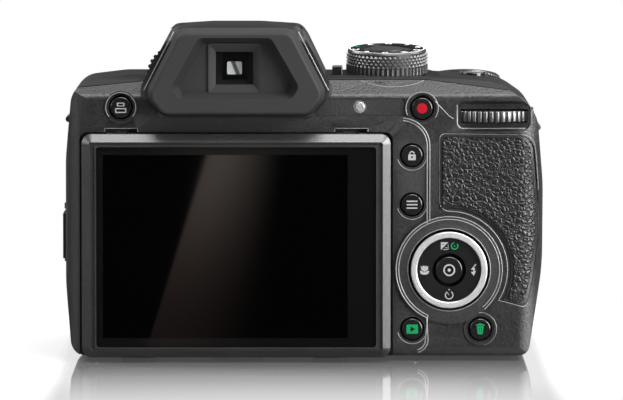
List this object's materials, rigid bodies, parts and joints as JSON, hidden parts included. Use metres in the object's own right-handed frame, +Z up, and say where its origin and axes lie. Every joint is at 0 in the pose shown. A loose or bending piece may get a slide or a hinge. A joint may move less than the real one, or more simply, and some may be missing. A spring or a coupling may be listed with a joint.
{
  "type": "bridge camera",
  "caption": "Bridge camera with a fixed telescoping zoom lens, electronic viewfinder, pop-up flash, tilting rear screen, mode and command dials and a four-way pad.",
  "frame": {"origin": "mouth of the tripod socket on the floor plane, straight below the lens axis", "axes": "+X to the right as seen from behind, +Y out through the lens, +Z up"},
  "size_m": [0.121, 0.0951, 0.0843],
  "materials": {
    "body_plastic": "fine-textured matte",
    "top_plastic": "fine-textured matte",
    "gloss_black": "gloss",
    "soft_rubber": "matte",
    "grip_skin": "leather grain",
    "button_plastic": "satin",
    "silver_ring": "polished",
    "dial_metal": "knurled",
    "plate_metal": "spun",
    "screen_glass": "gloss",
    "display_panel": "gloss",
    "clear_glass": "coated",
    "lamp_plastic": "clear",
    "steel": "brushed",
    "chassis_metal": "pressed sheet",
    "board": "solder mask",
    "dark_module": "matte",
    "brass": "turned",
    "battery_wrap": "satin",
    "lens_metal": "satin black"
  },
  "bodies": {
    "camera_body": {"rear_cover": "body_plastic", "front_cover": "body_plastic", "top_cover": "top_plastic", "thumb_rest": "grip_skin", "grip_rubber": "grip_skin", "viewfinder_housing": "gloss_black", "eyecup": "soft_rubber", "eyepiece_lens": "clear_glass", "evf_module": "dark_module", "key_board": "board", "chassis": "chassis_metal", "main_board": "board", "image_sensor": "dark_module", "lens_housing": "lens_metal", "focus_lens_group": "clear_glass", "shutter_unit": "dark_module", "zoom_motor": "steel", "flash_capacitor": "dark_module", "card_slot": "steel", "port_sockets": "steel", "battery": "battery_wrap", "tripod_bush": "brass", "feet": "soft_rubber", "strap_lugs": "steel", "status_lamp": "lamp_plastic", "screen_hinge": "steel"},
    "zoom_stage_1": {"zoom_barrel_1": "lens_metal", "zoom_lens_group": "clear_glass"},
    "zoom_stage_2": {"zoom_barrel_2": "lens_metal", "front_ring": "gloss_black", "front_lens": "clear_glass"},
    "mode_dial": {"mode_dial_knob": "dial_metal", "mode_dial_plate": "plate_metal"},
    "command_wheel": {"command_dial": "dial_metal"},
    "diopter_wheel": {"diopter_dial": "soft_rubber"},
    "zoom_ring": {"zoom_lever": "dial_metal"},
    "shutter_key": {"shutter_button": "silver_ring"},
    "power_key": {"power_button": "button_plastic"},
    "flash_key": {"flash_button": "button_plastic"},
    "viewfinder_key": {"viewfinder_button": "button_plastic"},
    "record_key": {"record_button": "button_plastic"},
    "lock_key": {"lock_button": "button_plastic"},
    "menu_key": {"menu_button": "button_plastic"},
    "playback_key": {"playback_button": "button_plastic"},
    "delete_key": {"delete_button": "button_plastic"},
    "centre_key": {"ok_button": "button_plastic"},
    "pad_boot": {"rocker_boot": "soft_rubber"},
    "direction_pad": {"rocker_pad": "button_plastic", "pad_ring": "silver_ring"},
    "flash": {"flash_head": "top_plastic", "flash_lens": "clear_glass"},
    "screen_arm": {"screen_bracket": "steel"},
    "screen": {"screen_housing": "body_plastic", "screen_bezel": "gloss_black", "screen_glass": "screen_glass", "display_panel": "display_panel"},
    "battery_lid": {"battery_door": "body_plastic"},
    "lid_latch": {"battery_latch": "button_plastic"},
    "port_lid": {"port_door": "soft_rubber"}
  },
  "joints": [
    {"name": "zoom_stage_1_slide", "type": "slide", "parent": "camera_body", "child": "zoom_stage_1", "axis": [0, 1, 0], "range_m": [0, 0.022]},
    {"name": "zoom_stage_2_slide", "type": "slide", "parent": "zoom_stage_1", "child": "zoom_stage_2", "axis": [0, 1, 0], "range_m": [0, 0.022]},
    {"name": "mode_dial_turn", "type": "hinge", "parent": "camera_body", "child": "mode_dial", "pos_m": [0.0378, -0.006, 0.0715], "axis": [0, -0.0958, 0.9954], "continuous": true},
    {"name": "command_dial_turn", "type": "hinge", "parent": "camera_body", "child": "command_wheel", "pos_m": [0.0644, -0.0145, 0.0614], "axis": [0, 0, 1], "continuous": true},
    {"name": "diopter_turn", "type": "hinge", "parent": "camera_body", "child": "diopter_wheel", "pos_m": [-0.0153, -0.0201, 0.0718], "axis": [0, 1, 0], "range_deg": [-120, 120]},
    {"name": "zoom_lever_turn", "type": "hinge", "parent": "camera_body", "child": "zoom_ring", "pos_m": [0.058, 0.0315, 0.067], "axis": [0, 0.2419, 0.9703], "range_deg": [-20, 20], "stiffness_Nm_per_rad": 0.02},
    {"name": "shutter_press", "type": "slide", "parent": "camera_body", "child": "shutter_key", "axis": [0, -0.2419, -0.9703], "range_m": [0, 0.0009], "stiffness_N_per_m": 900},
    {"name": "power_press", "type": "slide", "parent": "camera_body", "child": "power_key", "axis": [0, 0, -1], "range_m": [0, 0.0004], "stiffness_N_per_m": 900},
    {"name": "flash_button_press", "type": "slide", "parent": "camera_body", "child": "flash_key", "axis": [0, 0, -1], "range_m": [0, 0.0007], "stiffness_N_per_m": 900},
    {"name": "viewfinder_press", "type": "slide", "parent": "camera_body", "child": "viewfinder_key", "axis": [0, 1, 0], "range_m": [0, 0.0004], "stiffness_N_per_m": 900},
    {"name": "record_press", "type": "slide", "parent": "camera_body", "child": "record_key", "axis": [0, 1, 0], "range_m": [0, 0.0004], "stiffness_N_per_m": 900},
    {"name": "lock_press", "type": "slide", "parent": "camera_body", "child": "lock_key", "axis": [0, 1, 0], "range_m": [0, 0.0004], "stiffness_N_per_m": 900},
    {"name": "menu_press", "type": "slide", "parent": "camera_body", "child": "menu_key", "axis": [0, 1, 0], "range_m": [0, 0.0004], "stiffness_N_per_m": 900},
    {"name": "playback_press", "type": "slide", "parent": "camera_body", "child": "playback_key", "axis": [0, 1, 0], "range_m": [0, 0.0004], "stiffness_N_per_m": 900},
    {"name": "delete_press", "type": "slide", "parent": "camera_body", "child": "delete_key", "axis": [0, 1, 0], "range_m": [0, 0.0004], "stiffness_N_per_m": 900},
    {"name": "centre_press", "type": "slide", "parent": "camera_body", "child": "centre_key", "axis": [0, 1, 0], "range_m": [0, 0.0005], "stiffness_N_per_m": 900},
    {"name": "pad_rock_sideways", "type": "hinge", "parent": "camera_body", "child": "pad_boot", "pos_m": [0.0532, -0.018, 0.023], "axis": [0, 0, 1], "range_deg": [-3, 3], "stiffness_Nm_per_rad": 0.05},
    {"name": "pad_rock_upright", "type": "hinge", "parent": "pad_boot", "child": "direction_pad", "pos_m": [0.0532, -0.018, 0.023], "axis": [1, 0, 0], "range_deg": [-3, 3], "stiffness_Nm_per_rad": 0.05},
    {"name": "flash_raise", "type": "hinge", "parent": "camera_body", "child": "flash", "pos_m": [0, 0.002, 0.0773], "axis": [1, 0, 0], "range_deg": [0, 45]},
    {"name": "screen_arm_tilt", "type": "hinge", "parent": "camera_body", "child": "screen_arm", "pos_m": [0, -0.0236, 0.0556], "axis": [-1, 0, 0], "range_deg": [0, 85]},
    {"name": "screen_tilt", "type": "hinge", "parent": "screen_arm", "child": "screen", "pos_m": [0, -0.0226, 0.0032], "axis": [-1, 0, 0], "range_deg": [-45, 0]},
    {"name": "battery_door_open", "type": "hinge", "parent": "camera_body", "child": "battery_lid", "pos_m": [0.07, 0.016, 0.0024], "axis": [0, -1, 0], "range_deg": [0, 95]},
    {"name": "battery_latch_slide", "type": "slide", "parent": "battery_lid", "child": "lid_latch", "axis": [1, 0, 0], "range_m": [0, 0.0016]},
    {"name": "port_door_open", "type": "hinge", "parent": "camera_body", "child": "port_lid", "pos_m": [-0.0432, 0.0076, 0.0303], "axis": [0, 0, -1], "range_deg": [0, 110]}
  ],
  "couplings": [
    {"joint": "zoom_stage_2_slide", "follows": "zoom_stage_1_slide", "ratio": 1}
  ]
}
